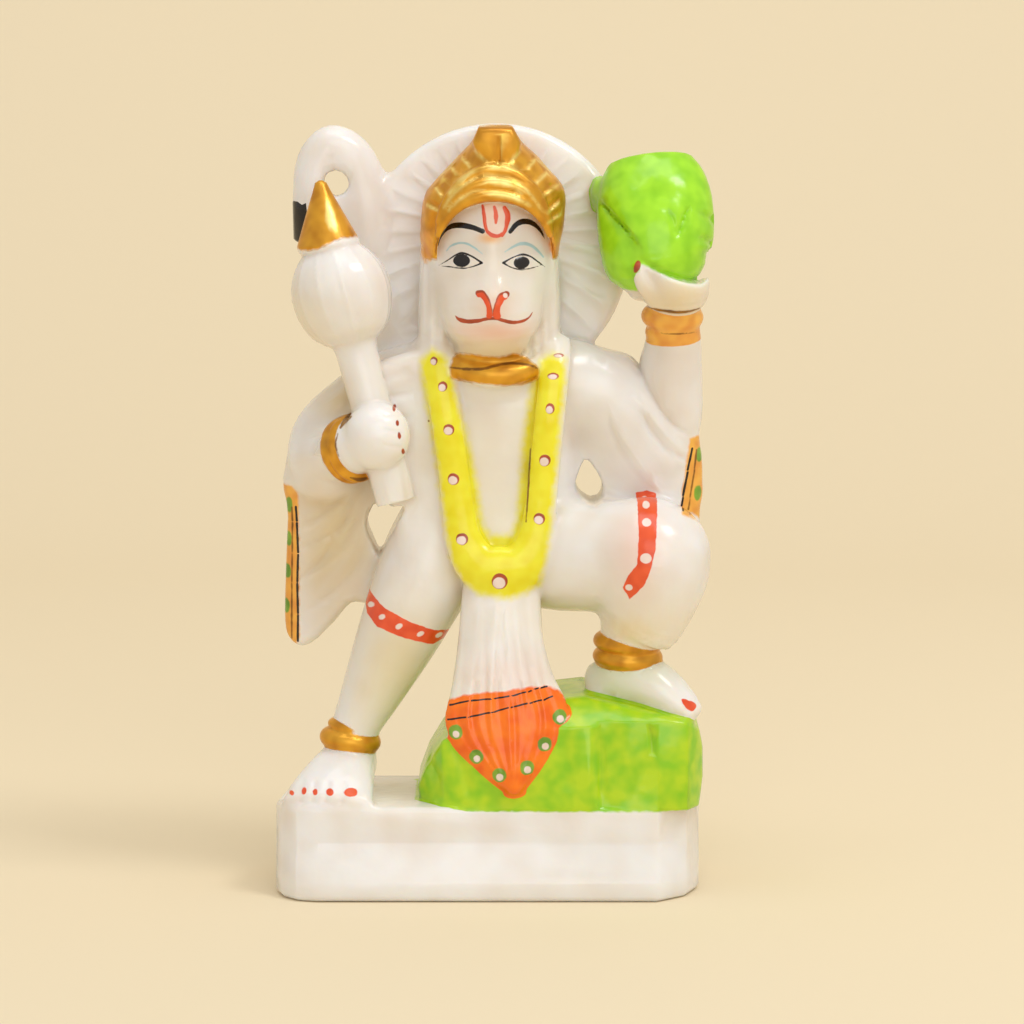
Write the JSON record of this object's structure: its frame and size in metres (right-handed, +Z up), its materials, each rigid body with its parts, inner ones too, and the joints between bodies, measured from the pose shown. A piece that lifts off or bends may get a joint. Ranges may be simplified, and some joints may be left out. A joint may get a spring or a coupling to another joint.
{
  "type": "hanuman figure",
  "caption": "Painted white marble shrine figure of Hanuman on its own plinth, one foot on a rock, a mace in one hand and a green hill held up in the other.",
  "frame": {"origin": "middle of the plinth's underside", "axes": "+Z up through the crown, +X to the viewer's right, and -Y towards the viewer, the way the figure faces"},
  "size_m": [0.087, 0.038, 0.1521],
  "materials": {
    "painted_marble": "polished white marble, part painted in gold, yellow, green, orange, red and black"
  },
  "bodies": {
    "root": {"hanuman_figure": "painted_marble"}
  },
  "joints": []
}
